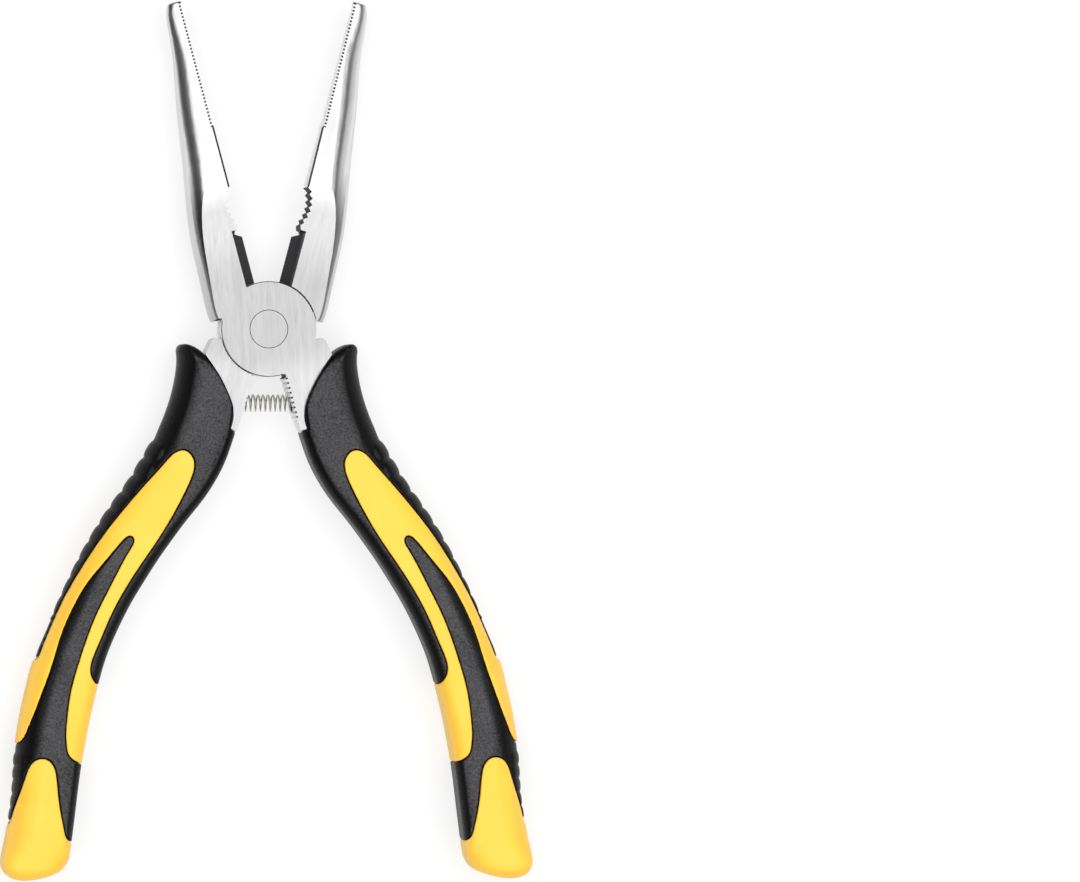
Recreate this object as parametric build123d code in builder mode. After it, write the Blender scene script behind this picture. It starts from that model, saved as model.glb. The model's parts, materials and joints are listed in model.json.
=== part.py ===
from build123d import *
import os
from math import cos, radians, sin

# Needle nose pliers, in millimetres and degrees. Each half is drawn closed, with the pivot at
# (0, 0, 0), the jaws towards +Y, the handles towards -Y and the flat sides facing +Z and -Z. The
# front half has its jaw at -X and its handle at +X. The rear half is the same forging turned over.
# The finished halves are opened by the spring and laid flat on z = 0.

# ---- Driving dimensions: joint -------------------------------------------------------------------
HALF_OPENING = 14.84  # each half stands this far from closed when the spring is relaxed
HEAD_THICKNESS = 10.6
DISC_RADIUS = 10.45
RIM_GAP = 0.2  # between a disc's rim and the shoulders of the other half
LAYER_GAP = 0.04  # between the two discs
RIVET_RADIUS = 4.2
SHANK_RADIUS = 3.2
RIVET_HEAD_DEPTH = 1.4
RIVET_CLEARANCE = 0.03
RIVET_CHAMFER = 0.12

# ---- Driving dimensions: jaws --------------------------------------------------------------------
# Each station is height above the pivot, width, depth of the rounded outer side, and thickness.
JAW_STATIONS = (
    (4.6, 11.5, 2.4, 11.4),
    (12.0, 11.6, 2.7, 11.4),
    (20.0, 11.35, 3.4, 11.4),
    (27.0, 10.75, 4.0, 11.2),
    (33.0, 9.8, 4.3, 10.6),
    (44.0, 8.0, 4.2, 8.5),
    (54.0, 6.4, 4.0, 6.4),
    (66.0, 4.4, 3.0, 4.3),
    (74.4, 2.9, 1.9, 2.7),
)
JAW_TIP = 74.4
TIP_ROUNDING = 0.4
TIP_GAP = 0.03  # each gripping face stands this far from the centre plane at its tip
FACE_TAPER = 0.008  # and this much further for each millimetre below the tip
FINE_PITCH = 0.8
FINE_DEPTH = 0.28
FINE_START = 46.0
COARSE_PITCH = 1.42
COARSE_DEPTH = 0.7
GRIP_HOLLOW_TOP = 32.2
GRIP_HOLLOW_TEETH = 6
GRIP_HOLLOW_DEPTH = 1.25
CUTTER_TOP = 21.0
CUTTER_RUNOUT = 1.7  # how far the bevels go on above the edge
CUTTER_GAP = 0.04
RELIEF_NOTCH = ((-1.7, 21.9), (-1.1, 23.1), (-0.9, 23.8))
CUTTER_WALL_X = 2.45  # the cutter's side wall at the face of the head
CUTTER_WALL_FOOT_X = 2.1
CUTTER_BEVEL_HEIGHT = 2.2

# ---- Driving dimensions: tangs and spring --------------------------------------------------------
SHOULDER_Y = -4.9
CRIMP_PITCH = 1.1
CRIMP_TOP = -11.4
CRIMP_TEETH = 8
CRIMP_TIP_X = 0.3
CRIMP_ROOT_X = 1.07
CRIMP_RELIEF = (0.6, -10.8)
CRIMP_RELIEF_RADIUS = 0.45
TANG_INNER = ((0.5, -8.0), (0.53, -10.9), (0.82, -19.15), (1.1, -23.2))
TANG_OUTER = ((11.9, -8.2), (11.4, -5.5), (10.9, SHOULDER_Y), (7.0, SHOULDER_Y))
BLADE_TOP = ((11.4, -11.0), (7.0, -9.0), (1.0, -12.0), (1.12, -23.4))
BLADE_INNER = ((4.4, -30.0), (8.4, -40.0), (13.2, -52.0), (17.0, -64.0), (19.2, -76.0), (19.8, -92.0))
BLADE_TIP = (23.2, -95.2)
BLADE_OUTER = ((26.4, -92.0), (26.0, -76.0), (24.0, -64.0), (20.6, -52.0), (16.6, -40.0), (13.4, -30.0))
BLADE_THICKNESS = 6.0
SPRING_Y = -16.2  # the spring's axis, while the pliers are open
SPRING_RADIUS = 1.95
SPRING_WIRE_RADIUS = 0.25
SPRING_PITCH = 1.03
POCKET_RADIUS = 2.15
POCKET_HALF_LENGTH = 8.85  # from the middle of the spring to the bottom of a pocket
SPRING_END_GAP = 0.05

# ---- Driving dimensions: grips -------------------------------------------------------------------
# Each station is height, inner edge, outer edge and thickness. Above the mouth they run on inwards.
GRIP_STATIONS = (
    (-5.0, 0.0, 18.6, 15.6),
    (-10.0, 0.2, 17.7, 15.4),
    (-16.0, 0.5, 16.8, 14.9),
    (-22.0, 0.9, 16.7, 14.5),
    (-28.0, 1.6, 17.6, 14.2),
    (-34.0, 2.5, 19.2, 14.1),
    (-42.0, 5.2, 21.8, 14.0),
    (-52.0, 9.2, 25.1, 13.8),
    (-64.0, 13.1, 27.9, 13.6),
    (-75.0, 15.4, 29.75, 13.6),
    (-86.0, 16.0, 31.15, 13.8),
    (-97.0, 15.5, 30.75, 14.2),
    (-108.0, 14.5, 29.1, 14.8),
    (-118.0, 13.2, 27.5, 15.3),
    (-125.0, 12.3, 26.9, 15.5),
    (-133.0, 11.2, 26.0, 15.5),
)
REST_HEIGHT = 7.5  # half the grip's thickness where it rests
GRIP_ROUNDING = 5.4
SLEEVE_THICKNESS = 1.6
CORE_TOP = -28.0
CORE_BOTTOM = -125.0
COLOUR_GROOVE = 0.3
LIP_GAP = 0.1
FAR = 40.0  # past every side of a half

# The edge where the grip meets the bare steel, from the inner side to the thumb guard.
MOUTH = ((2.5, -23.3), (3.0, -19.1), (5.5, -15.2), (8.9, -11.6), (12.0, -8.95), (14.6, -7.9))
THUMB_GUARD = ((16.9, -7.8), (18.0, -9.4), (24.0, -12.0))
TAIL_END = ((8.0, -118.0), (12.7, -124.8), (16.9, -129.3), (23.0, -131.0), (26.3, -129.0), (31.0, -121.0))

# Where the two colours meet, each line from the grip's inner side, round its top, to the outer side.
FORK_LINE = (
    (12.5, -86.6), (15.9, -85.9), (17.1, -85.1), (18.6, -83.6), (19.1, -81.5), (18.6, -76.0),
    (17.7, -70.0), (14.4, -58.0), (10.4, -46.0), (9.0, -40.0), (8.2, -34.4), (8.65, -32.2),
    (9.8, -30.9), (11.2, -30.45), (12.6, -31.1), (14.5, -34.0), (17.6, -40.0), (20.5, -46.0),
    (25.2, -58.0), (28.4, -70.0), (29.4, -76.0), (29.95, -80.5), (30.6, -82.9), (32.5, -83.6),
)
SPINE_LINE = (
    (12.0, -102.9), (15.0, -102.4), (16.7, -102.2), (18.1, -101.7), (19.1, -100.8), (20.2, -98.0),
    (21.1, -94.0), (21.9, -86.0), (21.5, -76.0), (20.8, -70.0), (18.2, -58.0), (17.2, -54.3),
    (16.9, -53.1), (17.0, -52.1), (17.5, -51.6), (18.1, -51.65), (18.7, -52.2), (19.7, -54.0),
    (21.6, -58.0), (24.2, -64.0), (25.9, -70.0), (26.8, -76.0), (27.3, -86.0), (28.1, -94.0),
    (28.9, -99.9), (29.5, -101.3), (30.3, -102.0), (32.5, -102.7),
)
TAIL_LINE = (
    (10.5, -120.8), (12.9, -120.3), (14.1, -119.8), (15.0, -118.8), (17.1, -114.0), (20.3, -106.0),
    (21.0, -104.8), (22.1, -103.8), (23.5, -103.35), (24.8, -103.75), (25.7, -104.7),
    (26.2, -105.9), (26.45, -108.5), (26.9, -117.0), (27.1, -119.2), (27.8, -120.4), (30.5, -121.5),
)

HALF_HEAD = HEAD_THICKNESS / 2
CLEARANCE_RADIUS = DISC_RADIUS + RIM_GAP
OVERCUT = 1.0  # how far a cutting tool passes a face that it cuts through


def across(height):
    """A plane across the handles at a height above the pivot, with its x along +X."""
    return Plane(origin=(0, height, 0), x_dir=(1, 0, 0), z_dir=(0, 1, 0))


def saw(start, pitch, count, tip_x, root_x):
    """The points of a row of teeth going up from start, whose tips and roots lie at given offsets."""
    points = []
    for tooth in range(count):
        root = start + tooth * pitch
        tip = root + pitch / 2
        points.append((root_x(root), root))
        points.append((tip_x(tip), tip))
    return points


def face_x(height):
    """The gripping face, which leans away from the centre plane below its tip."""
    return -(TIP_GAP + FACE_TAPER * (JAW_TIP - height))


# ---- Cutting tools for the inner side of a jaw ---------------------------------------------------
def gripping_face_tool():
    """Cuts the gripping face with its fine teeth, its smooth stretch and the toothed pipe hollow."""
    fine_count = int((JAW_TIP - FINE_START) / FINE_PITCH)
    hollow_bottom = GRIP_HOLLOW_TOP - GRIP_HOLLOW_TEETH * COARSE_PITCH
    middle = (GRIP_HOLLOW_TOP + hollow_bottom) / 2
    half_chord = GRIP_HOLLOW_TOP - middle

    def hollow_tip(height):
        return face_x(height) - GRIP_HOLLOW_DEPTH * (1 - ((height - middle) / half_chord) ** 2)

    coarse = saw(
        hollow_bottom + COARSE_PITCH / 2,
        COARSE_PITCH,
        GRIP_HOLLOW_TEETH,
        hollow_tip,
        lambda height: hollow_tip(height) - COARSE_DEPTH,
    )
    fine = saw(FINE_START, FINE_PITCH, fine_count, face_x, lambda height: face_x(height) - FINE_DEPTH)
    outline = [(OVERCUT, CUTTER_TOP), (-CUTTER_GAP, CUTTER_TOP), *RELIEF_NOTCH]
    outline += coarse[:-1]
    outline += [(face_x(GRIP_HOLLOW_TOP), GRIP_HOLLOW_TOP), (face_x(FINE_START), FINE_START)]
    outline += fine[1:]
    outline += [(-TIP_GAP, JAW_TIP), (-TIP_GAP, JAW_TIP + OVERCUT), (OVERCUT, JAW_TIP + OVERCUT)]
    with BuildPart(mode=Mode.PRIVATE) as tool:
        with BuildSketch():
            with BuildLine():
                Polyline(*outline, close=True)
            make_face()
        extrude(amount=HALF_HEAD + OVERCUT, both=True)
    return tool.part


def cutter_tool():
    """Cuts the steep side walls and the bevels that leave the cutting edge in the middle plane."""
    over = HALF_HEAD + OVERCUT
    wall_slope = (CUTTER_WALL_X - CUTTER_WALL_FOOT_X) / (HALF_HEAD - CUTTER_BEVEL_HEIGHT)
    wall_over_x = CUTTER_WALL_X + wall_slope * OVERCUT
    with BuildPart(mode=Mode.PRIVATE) as tool:
        with BuildSketch(across(0)):
            for side in (1, -1):
                with BuildLine():
                    Polyline(
                        (-CUTTER_GAP, 0),
                        (-CUTTER_WALL_FOOT_X, side * CUTTER_BEVEL_HEIGHT),
                        (-wall_over_x, side * over),
                        (OVERCUT, side * over),
                        (OVERCUT, 0),
                        close=True,
                    )
                make_face()
        extrude(amount=CUTTER_TOP + CUTTER_RUNOUT)
    return tool.part


def rivet_solid(clearance):
    """The pivot rivet, or the hole for it, with countersunk heads flush with the halves."""
    neck = HALF_HEAD - RIVET_HEAD_DEPTH
    head = RIVET_RADIUS + clearance
    shank = SHANK_RADIUS + clearance
    with BuildPart(mode=Mode.PRIVATE) as solid:
        with BuildSketch(Plane.XZ):
            with BuildLine():
                Polyline(
                    (0, -HALF_HEAD),
                    (head, -HALF_HEAD),
                    (shank, -neck),
                    (shank, neck),
                    (head, HALF_HEAD),
                    (0, HALF_HEAD),
                    close=True,
                )
            make_face()
        revolve(axis=Axis.Z)
    return solid.part


def pivot_rivet():
    """The rivet itself, whose two rims are broken by a small chamfer."""
    with BuildPart(mode=Mode.PRIVATE) as rivet:
        add(rivet_solid(0))
        levels = rivet.edges().group_by(Axis.Z)
        chamfer(levels[0] + levels[-1], RIVET_CHAMFER)
    return rivet.part


# ---- The forged half -----------------------------------------------------------------------------
def jaw():
    """The long jaw, rounded on its outer side and ground flat where it is thicker than the head."""
    with BuildPart(mode=Mode.PRIVATE) as nose:
        for height, width, rounding, thickness in JAW_STATIONS:
            corner_x = rounding - width
            edge_z = thickness / 2
            with BuildSketch(across(height)):
                with BuildLine():
                    Polyline((corner_x, edge_z), (0, edge_z), (0, -edge_z), (corner_x, -edge_z))
                    EllipticalCenterArc((corner_x, 0), rounding, edge_z, start_angle=90, arc_size=180)
                make_face()
        loft()
        tip_rim = nose.edges().group_by(Axis.Y)[-1].filter_by(lambda edge: edge.center().X < -TIP_ROUNDING)
        fillet(tip_rim, TIP_ROUNDING)
        Box(FAR, 4 * FAR, HEAD_THICKNESS, mode=Mode.INTERSECT)
        add(gripping_face_tool(), mode=Mode.SUBTRACT)
        add(cutter_tool(), mode=Mode.SUBTRACT)
    return nose.part


def tang():
    """The thick tang beside the joint and the thinner blade that the grip is moulded on."""
    crimp_bottom = CRIMP_TOP - CRIMP_TEETH * CRIMP_PITCH
    teeth = saw(
        crimp_bottom,
        CRIMP_PITCH,
        CRIMP_TEETH,
        lambda height: CRIMP_TIP_X,
        lambda height: CRIMP_ROOT_X,
    )
    lip = MOUTH[:-1]
    with BuildPart(mode=Mode.PRIVATE) as steel:
        with BuildSketch():
            with BuildLine():
                Polyline(*TANG_INNER, lip[0])
                Spline(*lip)
                Polyline(lip[-1], *TANG_OUTER, TANG_INNER[0])
            make_face()
        extrude(amount=HALF_HEAD, both=True)
        with BuildSketch():
            with BuildLine():
                Polyline(*BLADE_TOP)
                Spline(BLADE_TOP[-1], *BLADE_INNER)
                ThreePointArc(BLADE_INNER[-1], BLADE_TIP, BLADE_OUTER[0])
                Spline(*BLADE_OUTER, BLADE_TOP[0])
            make_face()
        extrude(amount=BLADE_THICKNESS / 2, both=True)
        with BuildSketch():
            with BuildLine():
                Polyline((0, crimp_bottom), *teeth, (0, CRIMP_TOP), close=True)
            make_face()
            with Locations(CRIMP_RELIEF):
                Circle(CRIMP_RELIEF_RADIUS)
        extrude(amount=HALF_HEAD, both=True, mode=Mode.SUBTRACT)
    return steel.part


def forged_half():
    """The front half, closed: jaw, joint disc in the upper layer, tang, rivet hole and spring pocket."""
    turn = radians(HALF_OPENING)
    pocket_centre = (SPRING_Y * sin(turn), SPRING_Y * cos(turn), 0)
    pocket_axis = (cos(turn), -sin(turn), 0)
    with BuildPart(mode=Mode.PRIVATE) as half:
        add(jaw())
        add(tang())
        with BuildSketch(Plane.XY.offset(LAYER_GAP / 2)):
            Circle(CLEARANCE_RADIUS)
        extrude(amount=-HEAD_THICKNESS, mode=Mode.SUBTRACT)
        with BuildSketch(Plane.XY.offset(LAYER_GAP / 2)):
            Circle(DISC_RADIUS)
        extrude(amount=HALF_HEAD - LAYER_GAP / 2)
        with BuildSketch(Plane(origin=pocket_centre, x_dir=(0, 0, 1), z_dir=pocket_axis)):
            Circle(POCKET_RADIUS)
        extrude(amount=POCKET_HALF_LENGTH, mode=Mode.SUBTRACT)
    return half.part


def spring_coil():
    """The return spring along X, centred on the origin, as long as the two pockets leave room for."""
    half_length = POCKET_HALF_LENGTH - SPRING_END_GAP - SPRING_WIRE_RADIUS
    coil_radius = SPRING_RADIUS - SPRING_WIRE_RADIUS
    with BuildPart(mode=Mode.PRIVATE) as coil:
        with BuildLine():
            wire = Helix(SPRING_PITCH, 2 * half_length, coil_radius, (-half_length, 0, 0), (1, 0, 0))
        with BuildSketch(Plane(origin=wire @ 0, z_dir=wire % 0)):
            Circle(SPRING_WIRE_RADIUS)
        sweep(is_frenet=True)
    return coil.part


# ---- The grip ------------------------------------------------------------------------------------
def grip_loft(inset, stations):
    """The rounded body of a grip, or the same body shrunk by an inset."""
    with BuildPart(mode=Mode.PRIVATE) as body:
        for height, inner, outer, thickness in stations:
            with BuildSketch(across(height)):
                with Locations(((inner + outer) / 2, 0)):
                    RectangleRounded(outer - inner - 2 * inset, thickness - 2 * inset, GRIP_ROUNDING - inset)
        loft()
    return body.part


def prism_below(line):
    """A prism that holds everything on the handle's side of a line across the grip."""
    with BuildPart(mode=Mode.PRIVATE) as prism:
        with BuildSketch():
            with BuildLine():
                Spline(*line)
                Polyline(
                    line[-1],
                    (FAR, line[-1][1]),
                    (FAR, -4 * FAR),
                    (-FAR, -4 * FAR),
                    (-FAR, line[0][1]),
                    line[0],
                )
            make_face()
        extrude(amount=FAR, both=True)
    return prism.part


def widened(line):
    """A colour line moved out by the groove between two colours."""
    edge = Spline(*line, mode=Mode.PRIVATE)
    moved = []
    steps = 2 * len(line)
    for step in range(steps + 1):
        point = edge @ (step / steps)
        along = edge % (step / steps)
        moved.append((point.X - COLOUR_GROOVE * along.Y, point.Y + COLOUR_GROOVE * along.X))
    return moved


def grip_body():
    """The whole grip: flat where it rests, open along the mouth and rounded at the tail."""
    mouth = [(x + LIP_GAP, y - LIP_GAP) for x, y in MOUTH]
    with BuildPart(mode=Mode.PRIVATE) as body:
        add(grip_loft(0, GRIP_STATIONS))
        Box(2 * FAR, 8 * FAR, 2 * REST_HEIGHT, mode=Mode.INTERSECT)
        with BuildSketch():
            with BuildLine():
                Spline(*mouth, *THUMB_GUARD)
                Line(THUMB_GUARD[-1], (FAR, THUMB_GUARD[-1][1]))
                Polyline((FAR, THUMB_GUARD[-1][1]), (FAR, TAIL_END[-1][1]), TAIL_END[-1])
                Spline(*TAIL_END)
                Polyline(TAIL_END[0], (-FAR, TAIL_END[0][1]), (-FAR, mouth[0][1]), mouth[0])
            make_face()
        extrude(amount=FAR, both=True, mode=Mode.INTERSECT)
    return body.part


def grip_pieces():
    """The yellow core, the black upper sleeve and the black lower sleeve of one grip."""
    body = grip_body()
    blade = tang()
    covered = [station for station in GRIP_STATIONS if CORE_BOTTOM <= station[0] <= CORE_TOP]
    with BuildPart(mode=Mode.PRIVATE) as tail:
        add(body)
        add(prism_below(TAIL_LINE), mode=Mode.INTERSECT)
    with BuildPart(mode=Mode.PRIVATE) as core:
        add(body)
        add(prism_below(FORK_LINE), mode=Mode.INTERSECT)
        add(prism_below(widened(SPINE_LINE)), mode=Mode.SUBTRACT)
        add(tail.part)
        add(grip_loft(SLEEVE_THICKNESS, covered))
    with BuildPart(mode=Mode.PRIVATE) as hollow_core:
        add(core.part)
        add(blade, mode=Mode.SUBTRACT)
    with BuildPart(mode=Mode.PRIVATE) as upper:
        add(body)
        add(prism_below(widened(FORK_LINE)), mode=Mode.SUBTRACT)
        add(core.part, mode=Mode.SUBTRACT)
        add(blade, mode=Mode.SUBTRACT)
    with BuildPart(mode=Mode.PRIVATE) as lower:
        add(body)
        add(prism_below(SPINE_LINE), mode=Mode.INTERSECT)
        add(prism_below(widened(TAIL_LINE)), mode=Mode.SUBTRACT)
        add(core.part, mode=Mode.SUBTRACT)
    return hollow_core.part, upper.part, lower.part


# ---- Placing and writing -------------------------------------------------------------------------
def place(shape, place_at, label):
    """Puts a finished shape where it belongs, names it and writes it."""
    with BuildPart() as piece:
        with Locations(place_at):
            add(shape)
    piece.part.label = label
    export_step(piece.part, f"parts/{label}.step")
    print(label, len(piece.part.solids()), "solids", round(piece.part.volume, 1), "mm3")
    return piece.part


def main():
    os.makedirs("parts", exist_ok=True)
    half = forged_half()
    core, upper, lower = grip_pieces()

    opened = Location((0, 0, 0), (0, 0, HALF_OPENING))
    extent = Compound(children=[half.moved(opened), core.moved(opened), upper.moved(opened)]).bounding_box()
    pivot_y = -(extent.min.Y + extent.max.Y) / 2
    middle = (0, pivot_y, REST_HEIGHT)
    front = Location(middle, (0, 0, HALF_OPENING))
    rear = Location(middle, (0, 180, HALF_OPENING))
    print("pivot y", round(pivot_y, 4), "z", REST_HEIGHT)

    with BuildPart() as front_steel:
        add(half)
        add(rivet_solid(RIVET_CLEARANCE), mode=Mode.SUBTRACT)
    with BuildPart() as rear_steel:
        add(half)
        add(rivet_solid(0), mode=Mode.SUBTRACT)
    place(front_steel.part, front, "front_half")
    place(rear_steel.part, rear, "rear_half")
    place(pivot_rivet(), Location(middle), "pivot_rivet")

    place(spring_coil(), Location((0, pivot_y + SPRING_Y, REST_HEIGHT)), "return_spring")

    for side, where in (("front", front), ("rear", rear)):
        place(core, where, f"{side}_grip_core")
        place(upper, where, f"{side}_grip_upper_sleeve")
        place(lower, where, f"{side}_grip_lower_sleeve")


main()
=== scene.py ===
import json
import math

import bpy
import numpy as np
from mathutils import Matrix, Vector


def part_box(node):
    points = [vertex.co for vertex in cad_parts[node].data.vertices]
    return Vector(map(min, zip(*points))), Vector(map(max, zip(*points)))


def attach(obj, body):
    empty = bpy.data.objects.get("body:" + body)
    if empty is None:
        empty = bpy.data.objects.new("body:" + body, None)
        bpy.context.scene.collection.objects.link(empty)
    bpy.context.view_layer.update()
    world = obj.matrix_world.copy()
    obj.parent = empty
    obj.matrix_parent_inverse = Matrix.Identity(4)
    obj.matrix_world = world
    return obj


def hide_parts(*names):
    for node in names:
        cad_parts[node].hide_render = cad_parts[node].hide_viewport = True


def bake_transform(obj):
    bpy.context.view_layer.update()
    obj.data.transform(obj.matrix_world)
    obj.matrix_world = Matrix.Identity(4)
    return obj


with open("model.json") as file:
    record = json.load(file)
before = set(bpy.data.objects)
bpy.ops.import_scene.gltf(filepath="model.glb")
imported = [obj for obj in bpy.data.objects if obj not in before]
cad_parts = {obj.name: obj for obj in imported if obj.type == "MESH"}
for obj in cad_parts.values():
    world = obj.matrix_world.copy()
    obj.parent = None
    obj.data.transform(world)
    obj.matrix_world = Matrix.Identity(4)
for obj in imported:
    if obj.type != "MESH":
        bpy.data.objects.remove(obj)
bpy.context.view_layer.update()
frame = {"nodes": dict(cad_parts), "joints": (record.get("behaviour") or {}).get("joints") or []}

# Lengths of the grips and the spring are in millimetres, in the frame of one half drawn closed: the
# pivot is the origin, the jaws point to +Y and the handle is at +X. lever_matrix() opens a half and
# puts it where the CAD has it.
MM = 0.001
HALF_OPENING = math.radians(14.84)
PIVOT = Vector(next(j["pos_m"] for j in frame["joints"] if j["name"] == "jaw_pivot"))


def lever_matrix(side):
    """From one half's own frame, in millimetres, to its place in the row frame."""
    turned = Matrix.Rotation(math.pi, 4, "Y") if side == "rear" else Matrix.Identity(4)
    opened = Matrix.Rotation(HALF_OPENING, 4, "Z")
    return Matrix.Translation(PIVOT) @ turned @ opened @ Matrix.Scale(MM, 4)


# ---- Curves in the plane -------------------------------------------------------------------------
def smooth_line(points, step=0.6):
    """Points about a step apart on the cubic spline through the given ones."""
    p = np.array(points, float)
    t = np.concatenate([[0], np.cumsum(np.linalg.norm(np.diff(p, axis=0), axis=1))])
    n = len(p)
    gap = np.diff(t)
    m = np.zeros((n, n))
    rhs = np.zeros((n, 2))
    m[0, 0] = m[-1, -1] = 1
    for i in range(1, n - 1):
        m[i, i - 1 : i + 2] = gap[i - 1], 2 * (gap[i - 1] + gap[i]), gap[i]
        rhs[i] = 6 * ((p[i + 1] - p[i]) / gap[i] - (p[i] - p[i - 1]) / gap[i - 1])
    bend = np.linalg.solve(m, rhs)
    out = []
    for i in range(n - 1):
        for u in np.arange(0, 1, step / gap[i]):
            a, b = 1 - u, u
            curved = ((a**3 - a) * bend[i] + (b**3 - b) * bend[i + 1]) * gap[i] ** 2 / 6
            out.append(a * p[i] + b * p[i + 1] + curved)
    out.append(p[-1])
    return np.array(out)


def nearest(x, y, line):
    """Distance to a polyline, and how far along it the nearest point is."""
    best = np.full(x.shape, 1e9)
    along = np.zeros(x.shape)
    start = 0.0
    for (ax, ay), (bx, by) in zip(line[:-1], line[1:]):
        dx, dy = bx - ax, by - ay
        length = math.hypot(dx, dy)
        if length < 1e-9:
            continue
        t = np.clip(((x - ax) * dx + (y - ay) * dy) / length**2, 0, 1)
        d = (x - ax - t * dx) ** 2 + (y - ay - t * dy) ** 2
        closer = d < best
        best[closer] = d[closer]
        along[closer] = (start + t * length)[closer]
        start += length
    return np.sqrt(best), along


def inside(x, y, polygon):
    """Which points lie inside a closed polygon."""
    crossed = np.zeros(x.shape, bool)
    for (ax, ay), (bx, by) in zip(polygon, np.roll(polygon, -1, axis=0)):
        if ay == by:
            continue
        hit = ((ay > y) != (by > y)) & (x < (bx - ax) * (y - ay) / (by - ay) + ax)
        crossed ^= hit
    return crossed


def signed(x, y, polygon):
    """Signed distance to a closed polygon, negative inside it."""
    closed = np.vstack([polygon, polygon[:1]])
    d, _ = nearest(x, y, closed)
    return np.where(inside(x, y, polygon), -d, d)


def ramp(v, start, end):
    """Rises smoothly from nought at the start to one at the end, which may be the lower value."""
    t = np.clip((v - start) / (end - start), 0, 1)
    return t * t * (3 - 2 * t)


def rounded(a, b, radius):
    """Where two solids meet, with their common edge rounded."""
    corner = np.sqrt(np.maximum(a + radius, 0) ** 2 + np.maximum(b + radius, 0) ** 2)
    return np.minimum(-radius, np.maximum(a, b)) + corner


# ---- The outlines of a grip ----------------------------------------------------------------------
OUTER = [
    (19.6, -5.0), (18.9, -7.0), (18.35, -9.0), (17.75, -10.5), (17.3, -12.0), (16.85, -15.0),
    (16.65, -19.0), (16.85, -23.0), (17.6, -28.0), (19.2, -34.0), (21.0, -40.0), (23.3, -46.0),
    (25.25, -52.0), (26.7, -58.0), (27.95, -64.0), (29.0, -70.0), (29.9, -76.0), (30.75, -81.5),
    (31.15, -84.5), (31.15, -88.0), (31.05, -92.0), (30.75, -97.0), (30.1, -102.5), (29.1, -107.9),
    (28.1, -113.1), (27.5, -118.0), (27.05, -122.5), (26.65, -126.4), (26.05, -128.6), (24.9, -129.85),
    (22.6, -130.4), (19.6, -129.75), (16.9, -128.5), (14.8, -127.1), (13.2, -125.4), (12.55, -123.5),
]
INNER = [
    (12.55, -123.5), (12.8, -121.0), (13.15, -118.2), (13.55, -115.2), (14.15, -110.8),
    (14.75, -106.4), (15.25, -102.0), (15.6, -97.5), (15.9, -93.0), (16.05, -88.5), (16.1, -84.0),
    (16.0, -79.4), (15.5, -74.7), (14.65, -69.9), (13.55, -65.1), (12.1, -60.2), (10.5, -55.2),
    (8.65, -50.2), (6.6, -45.1), (4.3, -39.9), (2.65, -35.0), (1.65, -30.2), (1.3, -26.0),
    (1.0, -20.0), (0.4, -10.0),
]
MOUTH = [
    (-3.0, -23.4), (0.0, -23.4), (1.8, -23.38), (2.25, -23.3), (2.5, -23.0), (2.55, -22.4),
    (2.75, -20.8), (3.05, -19.1), (4.15, -17.1),
    (5.5, -15.35), (7.1, -13.5), (8.9, -11.7), (10.9, -9.95), (12.5, -8.75), (14.3, -8.0),
    (16.1, -7.75), (17.3, -8.0), (18.1, -8.7), (18.7, -10.0), (19.6, -12.5), (22.0, -16.0),
]
FORK = [
    (12.0, -85.4), (15.4, -85.1), (16.7, -84.7), (17.9, -83.8), (18.7, -82.6), (19.05, -81.2),
    (19.05, -79.6), (18.55, -76.0), (17.67, -70.0), (16.3, -64.0), (14.44, -58.0), (12.3, -52.0),
    (10.43, -46.0), (9.0, -40.0), (8.3, -36.0), (8.22, -34.0), (8.65, -32.2), (9.7, -31.0),
    (11.2, -30.45), (12.65, -31.1), (14.54, -34.0), (17.59, -40.0), (20.48, -46.0), (23.09, -52.0),
    (25.24, -58.0), (27.03, -64.0), (28.44, -70.0), (29.36, -76.0), (29.95, -80.5), (30.15, -82.0),
    (30.6, -82.9), (32.5, -83.6),
]
SPINE = [
    (12.0, -102.9), (15.0, -102.4), (16.7, -102.2), (18.1, -101.7), (19.1, -100.8), (19.75, -99.4),
    (20.25, -98.0), (21.1, -94.0), (21.68, -90.0), (21.92, -86.0), (21.8, -81.0), (21.5, -76.0),
    (20.79, -70.0), (19.56, -64.0), (18.23, -58.0), (17.21, -54.2), (16.9, -53.0), (17.0, -52.1),
    (17.5, -51.6), (18.1, -51.65), (18.7, -52.2), (19.71, -54.0), (21.56, -58.0), (24.25, -64.0),
    (25.85, -70.0), (26.77, -76.0), (27.0, -81.0), (27.3, -86.0), (27.7, -90.0), (28.09, -94.0),
    (28.58, -98.0), (28.95, -100.2), (29.5, -101.3), (30.3, -102.0), (32.5, -102.7),
]
TAIL = [
    (10.5, -119.7), (12.6, -119.6), (13.9, -119.3), (14.75, -118.6), (15.45, -117.4), (17.13, -114.0),
    (18.81, -110.0), (20.34, -106.0), (21.0, -104.8), (22.0, -103.8), (23.5, -103.35),
    (24.8, -103.75), (25.75, -104.7), (26.2, -105.9), (26.45, -108.5), (26.75, -113.0),
    (26.93, -117.0), (27.1, -119.2), (27.8, -120.4), (30.5, -121.5),
]
BLADE = [
    (7.0, -9.0), (1.0, -12.0), (1.12, -23.4), (4.4, -30.0), (8.4, -40.0), (13.2, -52.0),
    (17.0, -64.0), (19.2, -76.0), (19.8, -92.0), (23.2, -95.2), (26.4, -92.0), (26.0, -76.0),
    (24.0, -64.0), (20.6, -52.0), (16.6, -40.0), (13.4, -30.0), (11.4, -11.0),
]
HALF_THICKNESS = [
    (-5.0, 7.5), (-16.0, 7.45), (-22.0, 7.25), (-28.0, 7.1), (-42.0, 7.0), (-64.0, 6.8),
    (-86.0, 6.9), (-97.0, 7.1), (-108.0, 7.4), (-114.0, 7.5), (-133.0, 7.5),
]
FAR = 40.0  # past every side of a grip
BLADE_HALF = 3.0
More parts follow.
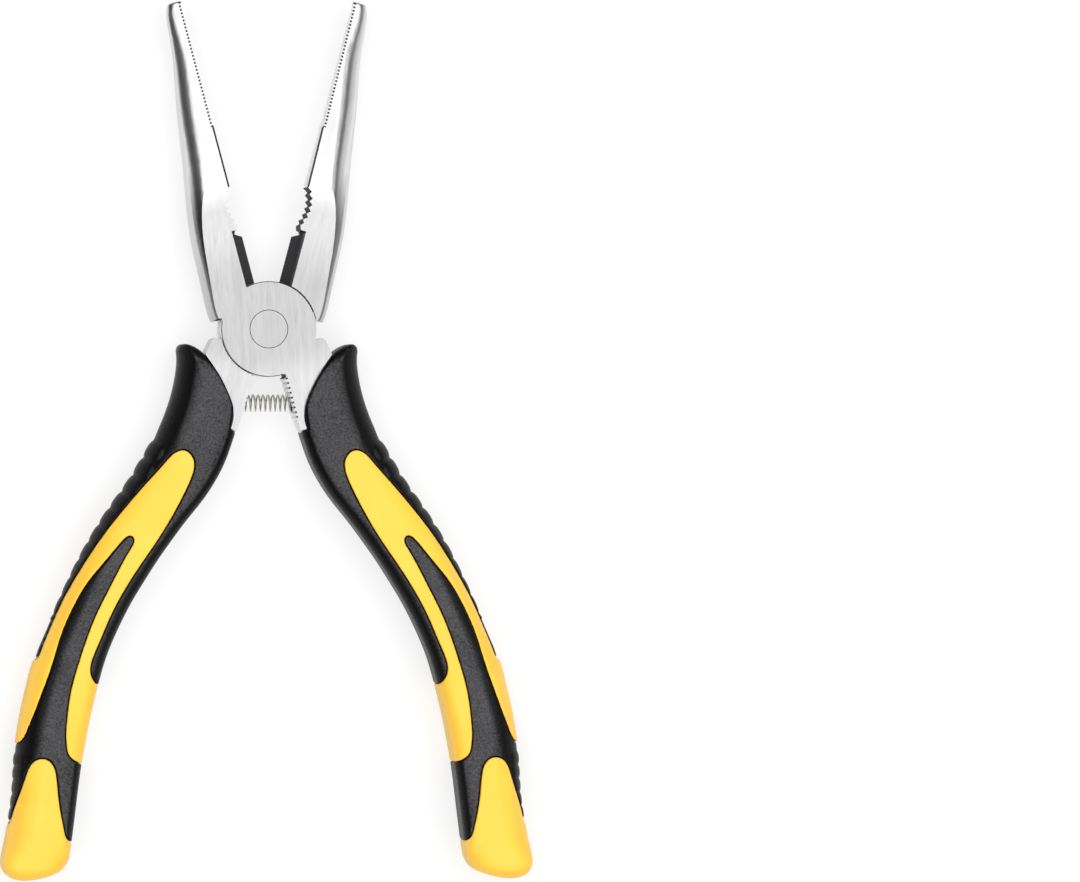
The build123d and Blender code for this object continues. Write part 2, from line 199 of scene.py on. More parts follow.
COVER = 0.8  # how deep the black sleeves lie on the yellow core
CORE_ENDS = (-28.0, -125.0)
GROOVE = 0.14
OUTER_ROUNDING, INNER_ROUNDING, TAIL_ROUNDING = 6.7, 3.7, 3.2
LIP_ROUNDING, BLACK_ROUNDING, YELLOW_ROUNDING = 0.75, 0.3, 0.16
VOXEL = 0.24


def length_at(line, height):
    """How far along a line that runs down the grip it first reaches a height."""
    length = np.concatenate([[0], np.cumsum(np.linalg.norm(np.diff(line, axis=0), axis=1))])
    return length[np.argmax(line[:, 1] < height)]


def handle_side(line):
    """The polygon of everything on the handle's side of a line across the grip."""
    p = smooth_line(line)
    ends = [(FAR, p[-1][1]), (FAR, -4 * FAR), (-FAR, -4 * FAR), (-FAR, p[0][1])]
    return np.vstack([p, ends])


# ---- A mesh from a field -------------------------------------------------------------------------
def surface(field, corner, step):
    """The vertices and quads of the surface where a sampled field is zero."""
    low = field < 0
    count = np.zeros(tuple(n - 1 for n in field.shape), np.int8)
    offsets = [(i, j, k) for i in (0, 1) for j in (0, 1) for k in (0, 1)]
    for i, j, k in offsets:
        count += low[i : i + count.shape[0], j : j + count.shape[1], k : k + count.shape[2]]
    active = (count > 0) & (count < 8)
    cells = np.argwhere(active)
    number = np.full(active.shape, -1, np.int32)
    number[active] = np.arange(len(cells))
    total = np.zeros((len(cells), 3))
    hits = np.zeros(len(cells))
    for axis in range(3):
        ends = [o for o in offsets if o[axis] == 0]
        for o in ends:
            a = field[tuple((cells + o).T)]
            far = list(o)
            far[axis] = 1
            b = field[tuple((cells + far).T)]
            cut = (a < 0) != (b < 0)
            t = np.where(cut, a / np.where(cut, a - b, 1), 0)
            point = np.tile(np.array(o, float), (len(cells), 1))
            point[:, axis] = t
            total += point * cut[:, None]
            hits += cut
    verts = cells + total / hits[:, None]
    quads = []
    for axis in range(3):
        u, v = (axis + 1) % 3, (axis + 2) % 3
        a = [slice(None)] * 3
        b = [slice(None)] * 3
        a[axis], b[axis] = slice(0, -1), slice(1, None)
        a[u] = b[u] = slice(1, -1)
        a[v] = b[v] = slice(1, -1)
        rising = low[tuple(a)] & ~low[tuple(b)]
        falling = ~low[tuple(a)] & low[tuple(b)]
        for which, flip in ((rising, False), (falling, True)):
            edge = np.argwhere(which)
            edge[:, u] += 1
            edge[:, v] += 1
            around = []
            for du, dv in ((-1, -1), (0, -1), (0, 0), (-1, 0)):
                cell = edge.copy()
                cell[:, u] += du
                cell[:, v] += dv
                around.append(number[tuple(cell.T)])
            quad = np.stack(around, axis=1)
            quads.append(quad[:, ::-1] if flip else quad)
    return verts * step + corner, np.vstack(quads)


def relaxed(verts, quads, field, corner, step, rounds=2):
    """Evens the mesh out, and puts its vertices back on the surface."""
    a = np.concatenate([quads[:, i] for i in range(4)])
    b = np.concatenate([quads[:, (i + 1) % 4] for i in range(4)])
    ends, others = np.concatenate([a, b]), np.concatenate([b, a])
    degree = np.bincount(ends, minlength=len(verts))
    for _ in range(rounds):
        mean = np.stack(
            [np.bincount(ends, verts[others, i], len(verts)) / degree for i in range(3)], axis=1
        )
        verts = verts * 0.5 + mean * 0.5
        for _ in range(2):
            value, slope = sample(field, (verts - corner) / step)
            size = np.maximum((slope**2).sum(axis=1), 1e-6)
            move = np.clip(value / size, -0.5, 0.5)[:, None] * slope
            verts = verts - move * step
    return verts


def sample(field, at):
    """A sampled field's value and slope, per sample, at points given in samples."""
    base = np.clip(np.floor(at).astype(int), 0, np.array(field.shape) - 2)
    f = np.clip(at - base, 0, 1)
    value = np.zeros(len(at))
    slope = np.zeros((len(at), 3))
    for i in (0, 1):
        for j in (0, 1):
            for k in (0, 1):
                v = field[base[:, 0] + i, base[:, 1] + j, base[:, 2] + k]
                wx = f[:, 0] if i else 1 - f[:, 0]
                wy = f[:, 1] if j else 1 - f[:, 1]
                wz = f[:, 2] if k else 1 - f[:, 2]
                value += v * wx * wy * wz
                slope[:, 0] += v * (1 if i else -1) * wy * wz
                slope[:, 1] += v * (1 if j else -1) * wx * wz
                slope[:, 2] += v * (1 if k else -1) * wx * wy
    return value, slope


def make_object(name, verts, quads, matrix):
    mesh = bpy.data.meshes.new(name)
    mesh.vertices.add(len(verts))
    mesh.vertices.foreach_set("co", verts.astype(np.float32).ravel())
    mesh.loops.add(quads.size)
    mesh.loops.foreach_set("vertex_index", quads.astype(np.int32).ravel())
    mesh.polygons.add(len(quads))
    mesh.polygons.foreach_set("loop_start", np.arange(0, quads.size, quads.shape[1], dtype=np.int32))
    mesh.update(calc_edges=True)
    mesh.validate()
    mesh.transform(matrix)
    mesh.shade_smooth()
    made = bpy.data.objects.new(name, mesh)
    bpy.context.scene.collection.objects.link(made)
    return made


def thinned(obj, faces):
    """Takes flat stretches of a mesh down to about this many triangles."""
    triangles = 2 * len(obj.data.polygons)
    if triangles > faces:
        modifier = obj.modifiers.new("thin", "DECIMATE")
        modifier.ratio = faces / triangles
        graph = bpy.context.evaluated_depsgraph_get()
        lean = bpy.data.meshes.new_from_object(obj.evaluated_get(graph))
        lean.name = obj.data.name
        obj.modifiers.clear()
        obj.data = lean
        obj.data.shade_smooth()
    return obj


# ---- The grips -----------------------------------------------------------------------------------
def rib_profile(along, wrap, start, end, pitch, half_length, top, bottom):
    """How far the round-ended ribs across the grip's outer side stand out at a point."""
    phase = np.abs((along - start) / pitch % 1 - 0.5) * pitch
    half_width = pitch * 0.48
    beyond = np.maximum(wrap - (half_length - half_width), 0)
    reach = np.sqrt(phase[..., None] ** 2 + beyond**2) / half_width
    share = ramp(along, start, end)
    within = ramp(along, start - 0.1, start) * ramp(along, end, end - 0.1)
    height = (top + (bottom - top) * share) * within
    return height[..., None] * np.clip(1 - reach**2.6, 0, None) ** 0.8


def grip_fields():
    xs = np.arange(-1.6, 32.4, VOXEL)
    ys = np.arange(-132.2, -6.4, VOXEL)
    zs = np.arange(-8.0, 8.01, VOXEL)
    zs = zs - zs.mean()
    x, y = np.meshgrid(xs, ys, indexing="ij")
    z = np.abs(zs)[None, None, :]

    outer, inner = smooth_line(OUTER), smooth_line(INNER)
    plan = signed(x, y, np.vstack([outer, inner[1:]]))
    _, along = nearest(x, y, outer)
    to_inner, _ = nearest(x, y, inner)
    to_outer, _ = nearest(x, y, outer[outer[:, 1] > -127])
    outward = ramp(to_inner / (to_inner + to_outer), 0.3, 0.7)

    table = np.array(HALF_THICKNESS)[::-1]
    half = np.interp(y, table[:, 0], table[:, 1])
    radius = INNER_ROUNDING + (OUTER_ROUNDING - INNER_ROUNDING) * outward
    tail_share = ramp(y, -121.0, -128.0)
    radius = radius + (TAIL_ROUNDING - radius) * tail_share
    face = z - half[..., None]
    body = rounded(plan[..., None], face, radius[..., None])

    # How far round the side a point is, measured along the section from its middle.
    flat = (half - radius)[..., None]
    angle = np.arctan2(np.maximum(z - flat, 0), np.maximum((radius + plan)[..., None], 1e-6))
    wrap = np.minimum(z, flat) + radius[..., None] * angle
    reach = [length_at(outer, height) for height in (-29.3, -73.5, -103.5, -118.5)]
    ribs = rib_profile(along, wrap, reach[0], reach[1], 4.4, 7.0, 0.5, 0.25)
    ribs = ribs * outward[..., None]
    low_ribs = rib_profile(along, wrap, reach[2], reach[3], 3.0, 6.2, 0.3, 0.25)
    low_ribs = low_ribs * outward[..., None]

    # The black stands a little lower than the yellow, and the ribs rise from it.
    ribbed = outward * 0.3 * ramp(y, -26.0, -31.0) * (1 - 0.95 * ramp(y, -48.0, -60.0))
    sunk = outward * 0.28 * ramp(y, -79.5, -83.5) * ramp(y, -121.0, -118.0)
    black = body + np.maximum(sunk, ribbed * (y > -90))[..., None]

    mouth = signed(x, y, handle_side(MOUTH))[..., None]
    fork = signed(x, y, handle_side(FORK))[..., None]
    spine = signed(x, y, handle_side(SPINE))[..., None]
    tail = signed(x, y, handle_side(TAIL))[..., None]
    blade = np.maximum(signed(x, y, smooth_line(BLADE + BLADE[:1]))[..., None], z - BLADE_HALF)
    ends = np.maximum(y - CORE_ENDS[0], CORE_ENDS[1] - y)[..., None]

    hidden = np.maximum(body + COVER, ends)
    band = rounded(body, np.maximum(fork, GROOVE - spine), YELLOW_ROUNDING)
    end = rounded(body, tail, YELLOW_ROUNDING)
    core = np.minimum(np.minimum(band, end), hidden)
    core = np.maximum(core, -blade)

    upper = rounded(black - ribs, mouth, LIP_ROUNDING)
    upper = rounded(upper, GROOVE - fork, BLACK_ROUNDING)
    upper = np.maximum(upper, np.maximum(0.02 - hidden, -blade))

    lower = rounded(black - low_ribs, np.maximum(spine, GROOVE - tail), BLACK_ROUNDING)
    lower = np.maximum(lower, 0.02 - hidden)
    corner = np.array([xs[0], ys[0], zs[0]])
    return {"core": core, "upper_sleeve": upper, "lower_sleeve": lower}, body, corner


def note_depth(obj, body, corner):
    """Stores how far below the grip's surface each point of a front piece lies, in millimetres."""
    mesh = obj.data
    place = np.empty(3 * len(mesh.vertices), dtype=np.float32)
    mesh.vertices.foreach_get("co", place)
    to_half = np.array(lever_matrix("front").inverted())
    local = place.reshape(-1, 3) @ to_half[:3, :3].T + to_half[:3, 3]
    value, _ = sample(body, (local - corner) / VOXEL)
    depth = mesh.attributes.new("depth", "FLOAT", "POINT")
    depth.data.foreach_set("value", -value.astype(np.float32))


PIECE_FACES = {"core": 90000, "upper_sleeve": 90000, "lower_sleeve": 50000}


def make_grips():
    fields, body, corner = grip_fields()
    made = {}
    for part, field in fields.items():
        field = field.astype(np.float64)
        verts, quads = surface(field, corner, VOXEL)
        verts = relaxed(verts, quads, field, corner, VOXEL)
        obj = make_object(f"front_grip_{part}_moulded", verts, quads, lever_matrix("front"))
        thinned(obj, PIECE_FACES[part])
        note_depth(obj, body, corner)
        other = bpy.data.objects.new(f"rear_grip_{part}_moulded", obj.data.copy())
        other.data.name = other.name
        other.data.transform(lever_matrix("rear") @ lever_matrix("front").inverted())
        bpy.context.scene.collection.objects.link(other)
        made["front", part] = obj
        made["rear", part] = other
    return made


# ---- The spring ----------------------------------------------------------------------------------
SPRING_WIRE = 0.00021  # its radius, in metres


def coil_line(half_length, radius, turns=17.0, closed_turns=1.2, steps_per_turn=28):
    """The middle of the wire along X. The end turns lie against their neighbours."""
    turn = np.linspace(0, turns, int(turns * steps_per_turn) + 1)
    closed_pitch = 0.55 * (2 * half_length / turns)
    open_pitch = (2 * half_length - closed_pitch * 2 * closed_turns) / (turns - 2 * closed_turns)
    at_end = (turn < closed_turns) | (turn > turns - closed_turns)
    pitch = np.where(at_end, closed_pitch, open_pitch)
    x = np.concatenate([[0], np.cumsum((pitch[1:] + pitch[:-1]) / 2 * np.diff(turn))])
    x = x * (2 * half_length / x[-1]) - half_length
    angle = turn * 2 * math.pi + math.pi / 2
    line = np.stack([x, radius * np.cos(angle), radius * np.sin(angle)], axis=1)
    out = np.stack([np.zeros(len(x)), np.cos(angle), np.sin(angle)], axis=1)
    return line, out


def round_wire(line, out, wire, sides=10):
    """The vertices and quads of a round wire along a line, closed at both ends by fans of quads."""
    forward = np.gradient(line, axis=0)
    forward /= np.linalg.norm(forward, axis=1)[:, None]
    across = np.cross(forward, out)
    around = np.linspace(0, 2 * math.pi, sides, endpoint=False)[None, :, None]
    ring = np.cos(around) * out[:, None, :] + np.sin(around) * across[:, None, :]
    verts = (line[:, None, :] + wire * ring).reshape(-1, 3)
    steps = len(line) - 1
    a = np.arange(steps)[:, None] * sides + np.arange(sides)[None, :]
    b = np.arange(steps)[:, None] * sides + (np.arange(sides)[None, :] + 1) % sides
    quads = np.stack([a, b, b + sides, a + sides], axis=-1).reshape(-1, 4)
    fan = np.array([[0, k, k + 1, k + 2] for k in range(1, sides - 2, 2)])
    return verts, np.concatenate([quads, fan[:, ::-1], fan + steps * sides])


def make_spring():
    """A wound coil with closed end turns, in the CAD spring's box, in place of the CAD spring."""
    low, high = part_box("return_spring")
    centre = (low + high) / 2
    radius = (high.z - low.z) / 2 - SPRING_WIRE
    half_length = (high.x - low.x) / 2 - SPRING_WIRE
    verts, quads = round_wire(*coil_line(half_length, radius), SPRING_WIRE)
    obj = make_object("return_spring_wound", verts, quads, Matrix.Translation(centre))
    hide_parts("return_spring")
    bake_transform(obj)
    return obj


# ---- Materials -----------------------------------------------------------------------------------
class Shader:
    """A material whose nodes are made and linked by short calls."""

    def __init__(self, name):
        self.material = bpy.data.materials.new(name)
        self.material.use_nodes = True
        self.tree = self.material.node_tree
        self.principled = self.tree.nodes["Principled BSDF"]

    def node(self, kind, **values):
        made = self.tree.nodes.new(kind)
        for key, value in values.items():
            if key in made.inputs:
                self.put(made.inputs[key], value)
            else:
                setattr(made, key, value)
        return made

    def put(self, socket, value):
        if isinstance(value, bpy.types.NodeSocket):
            self.tree.links.new(value, socket)
        else:
            socket.default_value = value

    def set(self, **values):
        for key, value in values.items():
            self.put(self.principled.inputs[key.replace("_", " ")], value)

    def coordinates(self, scale, turn=0.0, shift=(0, 0, 0)):
        """Places on the object, in metres about the pivot, turned about Z and then scaled."""
        place = self.node("ShaderNodeTexCoord").outputs["Object"]
        about = self.node("ShaderNodeVectorMath", operation="SUBTRACT")
        self.put(about.inputs[0], place)
        about.inputs[1].default_value = PIVOT
        spun = self.node("ShaderNodeVectorRotate", rotation_type="Z_AXIS")
        self.put(spun.inputs["Vector"], about.outputs[0])
        spun.inputs["Angle"].default_value = turn
        mapped = self.node("ShaderNodeMapping")
        self.put(mapped.inputs["Vector"], spun.outputs[0])
        mapped.inputs["Scale"].default_value = scale
        mapped.inputs["Location"].default_value = shift
        return mapped.outputs[0]

    def noise(self, vector, scale=1.0, detail=3.0, roughness=0.55):
        made = self.node("ShaderNodeTexNoise", Scale=scale, Detail=detail, Roughness=roughness)
        self.put(made.inputs["Vector"], vector)
        return made.outputs["Fac"]

    def between(self, value, low, high, to_low, to_high, smooth=False):
        made = self.node("ShaderNodeMapRange")
        if smooth:
            made.interpolation_type = "SMOOTHSTEP"
        for socket, v in zip(made.inputs, (value, low, high, to_low, to_high)):
            self.put(socket, v)
        return made.outputs[0]

    def math(self, operation, a, b=0.0):
        made = self.node("ShaderNodeMath", operation=operation)
        self.put(made.inputs[0], a)
        self.put(made.inputs[1], b)
        return made.outputs[0]

    def add(self, a, b):
        return self.math("ADD", a, b)

    def all_of(self, *masks):
        """One where every mask is one."""
        result = masks[0]
        for mask in masks[1:]:
            result = self.math("MULTIPLY", result, mask)
        return result

    def any_of(self, *masks):
        """One where any of the masks is one."""
        result = masks[0]
        for mask in masks[1:]:
            result = self.math("MAXIMUM", result, mask)
        return result

    def none_of(self, *masks):
        """One where every mask is nought."""
        return self.math("SUBTRACT", 1.0, self.any_of(*masks))

    def distance(self, x, y, at_x=0.0, at_y=0.0):
        """How far a point in the plane is from another."""
        across = self.math("POWER", self.math("SUBTRACT", x, at_x), 2.0)
        along = self.math("POWER", self.math("SUBTRACT", y, at_y), 2.0)
        return self.math("SQRT", self.add(across, along))

    def above(self, value, low, high):
        """Rises from nought to one between two values."""
        return self.between(value, low, high, 0.0, 1.0)

    def below(self, value, low, high):
        """Falls from one to nought between two values."""
        return self.between(value, low, high, 1.0, 0.0)

    def blended(self, fac, low, high, a, b):
        """Colour a up to one value, colour b from the other on, and a mix between them."""
        return self.mix(self.above(fac, low, high), a, b)

    def mix(self, share, a, b):
        made = self.node("ShaderNodeMix", data_type="RGBA")
        self.put(made.inputs["Factor"], share)
        self.put(made.inputs[6], a)
        self.put(made.inputs[7], b)
        return made.outputs[2]

    def split(self, vector):
        made = self.node("ShaderNodeSeparateXYZ")
        self.put(made.inputs[0], vector)
        return made.outputs[0], made.outputs[1], made.outputs[2]

    def window(self, value, low, high, soft):
        """One between two values and nought beyond them."""
        return self.all_of(self.above(value, low - soft, low), self.below(value, high, high + soft))

    def bump(self, height, strength, distance):
        made = self.node("ShaderNodeBump", Strength=strength, Distance=distance)
        self.put(made.inputs["Height"], height)
        return made.outputs[0]

    def paint(self, *objects):
        for obj in objects:
            obj.data.materials.clear()
            obj.data.materials.append(self.material)


def polished_steel(shader, bright, y, level):
    """The head is ground flat and the nose is polished. The nose's sides are painted darker as shade, and a
    dark crease line is painted as shade where the head's flat turns down to its side.
    """
    ground = shader.mix(bright, (0.455, 0.455, 0.46, 1), (0.545, 0.545, 0.55, 1))
    shoulder = shader.mix(bright, (0.57, 0.57, 0.575, 1), (0.67, 0.67, 0.675, 1))
    nose = shader.mix(bright, (0.84, 0.84, 0.845, 1), (0.93, 0.93, 0.935, 1))
    # The sides of the nose are painted darker than its front, as shade.
    nose_side_painted_shade = shader.mix(bright, (0.58, 0.58, 0.585, 1), (0.72, 0.72, 0.725, 1))
    nose = shader.mix(shader.above(level, 0.35, 0.85), nose_side_painted_shade, nose)
    head = shader.mix(shader.between(y, 11.0, 24.0, 0.0, 1.0, smooth=True), ground, shoulder)
    head = shader.mix(shader.between(y, -12.0, -5.0, 0.8, 0.0, smooth=True), head, shoulder)
    whole = shader.mix(shader.between(y, 27.0, 35.0, 0.0, 1.0, smooth=True), head, nose)
    # Painted shade: a dark line where the flat turns down to the side, below about 26 to 38 mm along the
    # jaw.
    painted_crease_shade = shader.all_of(shader.window(level, 0.55, 0.9, 0.07), shader.below(y, 26.0, 38.0), 0.75)
    return shader.mix(painted_crease_shade, whole, (0.1, 0.1, 0.1, 1))


def crimp_roots(shader, x, y):
    """The roots of the crimping teeth, all through the tang, as a mask for painted shade."""
    from_root = shader.math("PINGPONG", shader.add(y, 20.2), 0.55)
    rows = shader.all_of(shader.below(from_root, 0.18, 0.25), shader.window(y, -20.3, -11.3, 0.1))
    return shader.all_of(rows, shader.window(x, 0.7, 1.24, 0.06))


def facing_walls(shader, x, y, reach, upright):
    """The walls that face the other half, which are painted lighter as reflected light."""
    gripping = shader.all_of(shader.above(x, -3.4, -3.3), shader.above(y, 22.0, 22.5))
    rim = shader.below(reach, 10.7, 10.9)
    tang = shader.all_of(shader.below(x, 1.4, 1.6), shader.window(y, -24.0, -8.5, 0.3))
    return shader.all_of(upright, shader.any_of(gripping, rim, tang))


def painted_shade_walls(shader, x, y, up, upright):
    """Walls painted near-black as shade: the plain gripping face near its front edge, the pipe hollow, the
    crimping roots and their relief.
    """
    gripping = shader.all_of(shader.above(x, -3.4, -3.3), shader.above(y, 22.0, 22.5))
    half_thickness = shader.between(y, 33.0, 66.0, 5.3, 2.1)
    near_front = shader.below(shader.math("SUBTRACT", half_thickness, up), 2.2, 2.4)
    plain = shader.all_of(near_front, shader.below(y, 45.9, 46.0))
    hollow = shader.below(y, 32.2, 32.4)
    roots = shader.all_of(crimp_roots(shader, x, y), shader.above(shader.math("ABSOLUTE", up), 4.5, 4.6))
    relief = shader.below(shader.distance(x, y, 0.6, -10.8), 0.6, 0.7)
    painted_grip_shade = shader.all_of(gripping, shader.any_of(plain, hollow))
    return shader.all_of(upright, shader.any_of(painted_grip_shade, roots, relief))


def painted_shade_lines(shader, side, x, y, up, reach):
    """Thin dark lines painted as shade along the gripping edge, at its teeth's roots and along the disc's
    free rim.
    """
    # The gripping face leans away from the centre plane by 0.008 for each millimetre.
    lean = shader.add(x, shader.math("MULTIPLY", shader.math("SUBTRACT", 74.4, y), 0.008))
    from_root = shader.math("PINGPONG", shader.math("SUBTRACT", y, 46.0), 0.4)
    dots = shader.all_of(
        shader.below(from_root, 0.19, 0.26), shader.above(y, 45.8, 46.0), shader.above(lean, -0.72, -0.64)
    )
    width = 0.46 if side == "front" else 0.3
    plain = shader.all_of(shader.window(y, 32.3, 46.0, 0.1), shader.above(lean, -width, 0.06 - width))
    free = shader.any_of(
        shader.all_of(shader.above(x, -2.4, -2.3), shader.above(y, 1.0, 1.2)),
        shader.all_of(shader.below(x, 0.5, 0.6), shader.below(y, 4.2, 4.4)),
    )
    rim = shader.all_of(
        shader.window(reach, 10.3, 10.6, 0.05), free, shader.above(shader.math("ABSOLUTE", up), 5.1, 5.2)
    )
    lines = [dots, plain, rim]
    # On the front half, painted shade also lines the heel's underside and the crimping roots.
    if side == "front":
        heel = shader.all_of(shader.window(y, 4.5, 4.92, 0.05), shader.below(x, -9.5, -9.4))
        lines += [heel, crimp_roots(shader, x, y)]
    return shader.any_of(*lines)


def steel(name, side):
    """Brushed along the jaw. The cutting bevels, some walls and thin lines are painted near-black as shade,
    and the walls facing the other half are painted lighter as reflected light. Places are in the closed
    half's own frame.
    """
    shader = Shader(name)
    turn = -HALF_OPENING if side == "front" else HALF_OPENING
    brushing = turn * (0.25 if side == "front" else 0.9)
    streaks = shader.noise(shader.coordinates((7000.0, 220.0, 7000.0), brushing), detail=4.0, roughness=0.6)
    broad = shader.noise(shader.coordinates((1100.0, 40.0, 1100.0), brushing, (3.0, 1.0, 2.0)), detail=3.0)
    both = shader.add(shader.math("MULTIPLY", streaks, 0.65), shader.math("MULTIPLY", broad, 0.35))

    x, y, up = shader.split(shader.coordinates((1000.0, 1000.0, 1000.0), turn))
    if side == "rear":
        x = shader.math("MULTIPLY", x, -1.0)
    _, _, normal_z = shader.split(shader.node("ShaderNodeTexCoord").outputs["Normal"])
    level = shader.math("ABSOLUTE", normal_z)
    upright = shader.below(level, 0.25, 0.45)
    reach = shader.distance(x, y)

    # The cutting bevels are painted near-black, as shade.
    cutter = shader.all_of(
        shader.above(x, -2.52, -2.38), shader.window(y, 0.1, 22.7, 0.1), shader.above(reach, 10.46, 10.5)
    )
    # Painted shade: dark walls and thin dark lines.
    lines = shader.all_of(painted_shade_lines(shader, side, x, y, up, reach), shader.none_of(upright))
    dark = shader.any_of(painted_shade_walls(shader, x, y, up, upright), lines)
    # Painted reflected light: the walls that face the other half are lighter and less metallic.
    painted_light_walls = shader.all_of(facing_walls(shader, x, y, reach, upright), shader.none_of(dark))
    painted_near_black = shader.any_of(cutter, dark)

    polished = polished_steel(shader, shader.above(both, 0.3, 0.7), y, level)
    painted_light_colour = shader.mix(streaks, (0.8, 0.8, 0.81, 1), (0.87, 0.87, 0.88, 1))
    # The colour of the painted shade, near-black with faint streaks.
    painted_shade_colour = shader.mix(streaks, (0.012, 0.012, 0.013, 1), (0.045, 0.045, 0.048, 1))
    colour = shader.mix(painted_near_black, shader.mix(painted_light_walls, polished, painted_light_colour), painted_shade_colour)
    rough = shader.between(both, 0.3, 0.7, 0.38, 0.27)
    shader.set(
        Base_Color=colour,
        Metallic=shader.none_of(painted_near_black, shader.all_of(painted_light_walls, 0.8)),
        Specular_IOR_Level=shader.between(dark, 0.0, 1.0, 0.5, 0.04),
        Roughness=shader.add(rough, shader.math("MULTIPLY", painted_near_black, 0.2)),
        Normal=shader.bump(streaks, 0.25, 0.00002),
    )
    return shader


def rivet_metal():
    """Ground flat, with its grain in its own direction."""
    shader = Shader("rivet_ground_steel")
    streaks = shader.noise(shader.coordinates((6500.0, 150.0, 6500.0), 0.0, (5.0, 2.0, 0.0)), detail=4.0)
    shader.set(
        Base_Color=shader.blended(streaks, 0.3, 0.7, (0.475, 0.475, 0.48, 1), (0.53, 0.53, 0.535, 1)),
        Metallic=1.0,
        Roughness=shader.between(streaks, 0.3, 0.7, 0.36, 0.3),
        Normal=shader.bump(streaks, 0.25, 0.00002),
    )
    return shader


def wire_metal():
    """Bright, slightly warm drawn wire."""
    shader = Shader("spring_bright_wire")
    mottle = shader.noise(shader.coordinates((1500.0, 1500.0, 1500.0)), detail=3.0)
    shader.set(
        Base_Color=shader.mix(mottle, (0.48, 0.47, 0.42, 1), (0.74, 0.72, 0.66, 1)),
        Metallic=0.82,
        Roughness=shader.between(mottle, 0.3, 0.7, 0.28, 0.42),
    )
    return shader


def yellow_plastic():
    """Plain moulded plastic, painted near-black as shade inside the grooves and under the sleeves."""
    shader = Shader("yellow_moulded_plastic")
    depth = shader.node("ShaderNodeAttribute", attribute_name="depth").outputs["Fac"]
    cloud = shader.noise(shader.coordinates((90.0, 60.0, 90.0)), detail=2.0)
    fine = shader.noise(shader.coordinates((2600.0, 2600.0, 2600.0)), detail=2.0)
    yellow = shader.blended(cloud, 0.35, 0.65, (0.95, 0.55, 0.05, 1), (0.97, 0.585, 0.066, 1))
    shader.set(
        # Painted shade: near-black where the point lies more than about 0.2 to 0.32 mm below the grip's
        # surface.
        Base_Color=shader.mix(shader.above(depth, 0.2, 0.32), yellow, (0.008, 0.006, 0.003, 1)),
        Roughness=shader.between(fine, 0.3, 0.7, 0.42, 0.5),
        Normal=shader.bump(fine, 0.12, 0.00003),
    )
    return shader


def black_plastic():
    """Grained and painted lighter as sheen on the flats; smoother, and painted near-black as shade, round
    the sides.
    """
    shader = Shader("black_soft_plastic_grain")
    grain = shader.noise(shader.coordinates((2400.0, 2400.0, 2400.0)), detail=3.0, roughness=0.65)
    cloud = shader.noise(shader.coordinates((120.0, 90.0, 120.0), 0.0, (4.0, 4.0, 4.0)), detail=2.0)
    shade = shader.add(shader.math("MULTIPLY", grain, 0.85), shader.math("MULTIPLY", cloud, 0.15))

    # The painted sheen of the flats reaches a little further round the side that faces the other handle.
    normal_x, _, normal_z = shader.split(shader.node("ShaderNodeTexCoord").outputs["Normal"])
    place_x, _, place_z = shader.split(shader.coordinates((1000.0, 1000.0, 1000.0)))
    outward = shader.math("MULTIPLY", shader.math("SIGN", place_x), normal_x)
    level = shader.add(shader.math("ABSOLUTE", normal_z), shader.between(outward, -0.05, 0.05, 0.085, 0.0))
    # How much painted sheen: full where the surface faces up near the grip's top, less lower down, none
    # round the sides.
    flat = shader.all_of(
        shader.between(level, 0.85, 0.999, 0.0, 1.0, smooth=True),
        shader.between(shader.math("ABSOLUTE", place_z), 6.4, 6.75, 0.3, 1.0),
    )

    grain_with_painted_sheen = shader.blended(shade, 0.36, 0.64, (0.005, 0.005, 0.006, 1), (0.066, 0.066, 0.069, 1))
    rough = shader.add(shader.between(grain, 0.3, 0.7, 0.0, 0.2), shader.between(flat, 0.0, 1.0, 0.3, 0.36))
    shader.set(
        # Painted sheen over the grain on the flats, painted near-black shade round the sides.
        Base_Color=shader.mix(flat, (0.003, 0.003, 0.0033, 1), grain_with_painted_sheen),
        Specular_IOR_Level=shader.between(flat, 0.0, 1.0, 0.12, 0.5),
        Roughness=rough,
        Normal=shader.bump(grain, 0.8, 0.00016),
    )
    return shader


# ---- Put together --------------------------------------------------------------------------------
grips = make_grips()
yellow, black = yellow_plastic(), black_plastic()
for (side, part), piece in grips.items():
    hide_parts(f"{side}_grip_{part}")
    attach(piece, f"{side}_lever")
    (yellow if part == "core" else black).paint(piece)
    yellow.paint(frame["nodes"][f"{side}_grip_core"])
    black.paint(frame["nodes"][f"{side}_grip_upper_sleeve"], frame["nodes"][f"{side}_grip_lower_sleeve"])

spring = make_spring()
spring_finish = wire_metal()
spring_finish.paint(spring, frame["nodes"]["return_spring"])
for side in ("front", "rear"):
    steel(f"{side}_half_brushed_steel", side).paint(frame["nodes"][f"{side}_half"])
rivet_metal().paint(frame["nodes"]["pivot_rivet"])


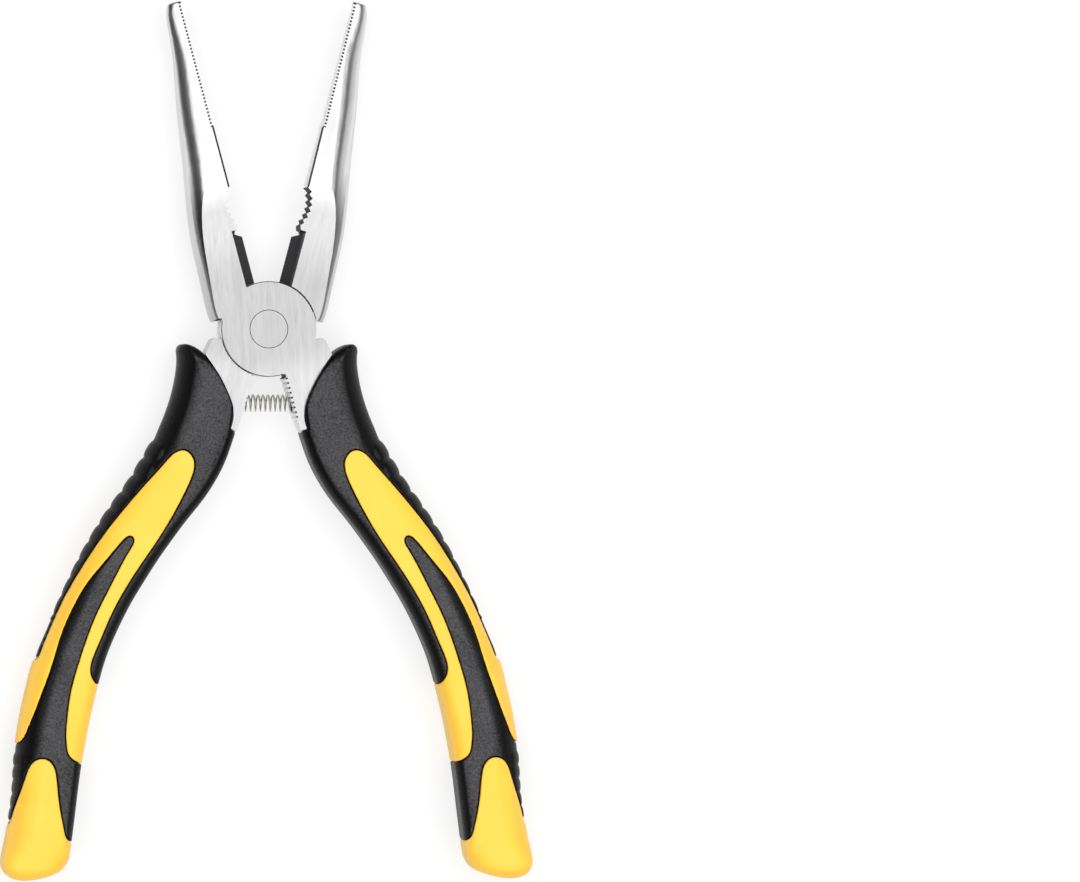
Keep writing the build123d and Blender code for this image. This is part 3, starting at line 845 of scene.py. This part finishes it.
# ---- Floor, light and camera ---------------------------------------------------------------------
def make_floor():
    size = 3.0
    mesh = bpy.data.meshes.new("floor")
    corners = [(-size, -size, 0), (size, -size, 0), (size, size, 0), (-size, size, 0)]
    mesh.from_pydata(corners, [], [(0, 1, 2, 3)])
    floor = bpy.data.objects.new("floor", mesh)
    bpy.context.scene.collection.objects.link(floor)
    shader = Shader("pale_floor")
    shader.set(Base_Color=(0.25, 0.25, 0.25, 1), Roughness=0.9)
    shader.set(Emission_Color=(1, 1, 1, 1), Emission_Strength=0.7)
    shader.paint(floor)


def area_light(name, place, size, radiance, glossy=True):
    """A round area light aimed at the origin, whose power is set from the radiance wanted of its face."""
    light = bpy.data.lights.new(name, "AREA")
    light.shape = "DISK"
    light.size = size
    light.energy = radiance * math.pi * math.pi * size**2 / 4
    lamp = bpy.data.objects.new(name, light)
    lamp.location = place
    lamp.rotation_mode = "QUATERNION"
    lamp.rotation_quaternion = (-place).to_track_quat("-Z", "Y")
    lamp.visible_glossy = glossy
    bpy.context.scene.collection.objects.link(lamp)
    return lamp


def make_world(strength):
    world = bpy.data.worlds.new("studio")
    world.use_nodes = True
    world.node_tree.nodes["Background"].inputs["Color"].default_value = (1, 1, 1, 1)
    world.node_tree.nodes["Background"].inputs["Strength"].default_value = strength
    bpy.context.scene.world = world


def make_camera():
    """Looks down on the pliers from a little to their left, with room for a second pair at the right."""
    distance, frame_width, sensor = 2.2, 0.2376, 36.0
    tilt = math.radians(7.05)
    centre = PIVOT + Vector((0.0604, -0.0245, 0))
    camera = bpy.data.cameras.new("camera")
    camera.sensor_width = sensor
    camera.lens = sensor * distance / frame_width
    camera.clip_start, camera.clip_end = 0.05, 20
    holder = bpy.data.objects.new("camera", camera)
    holder.location = centre + distance * Vector((-math.sin(tilt), 0, math.cos(tilt)))
    holder.rotation_mode = "XYZ"
    holder.rotation_euler = (0, -tilt, 0)
    bpy.context.scene.collection.objects.link(holder)
    bpy.context.scene.camera = holder


make_floor()
make_world(0.05)
OVERHEAD = Vector((0, 0, 3.0))
SOFT_BOX = 2 * OVERHEAD.z * math.tan(math.radians(25))
WIDE_BOX = 2 * OVERHEAD.z * math.tan(math.radians(40))
area_light("overhead", OVERHEAD, SOFT_BOX, 1.6)
area_light("fill", OVERHEAD, WIDE_BOX, 3.3, glossy=False)
area_light("side_card", Vector((2.1, 0, 0.75)), 1.6, 0.65)
make_camera()
bpy.context.scene.view_settings.view_transform = "Standard"
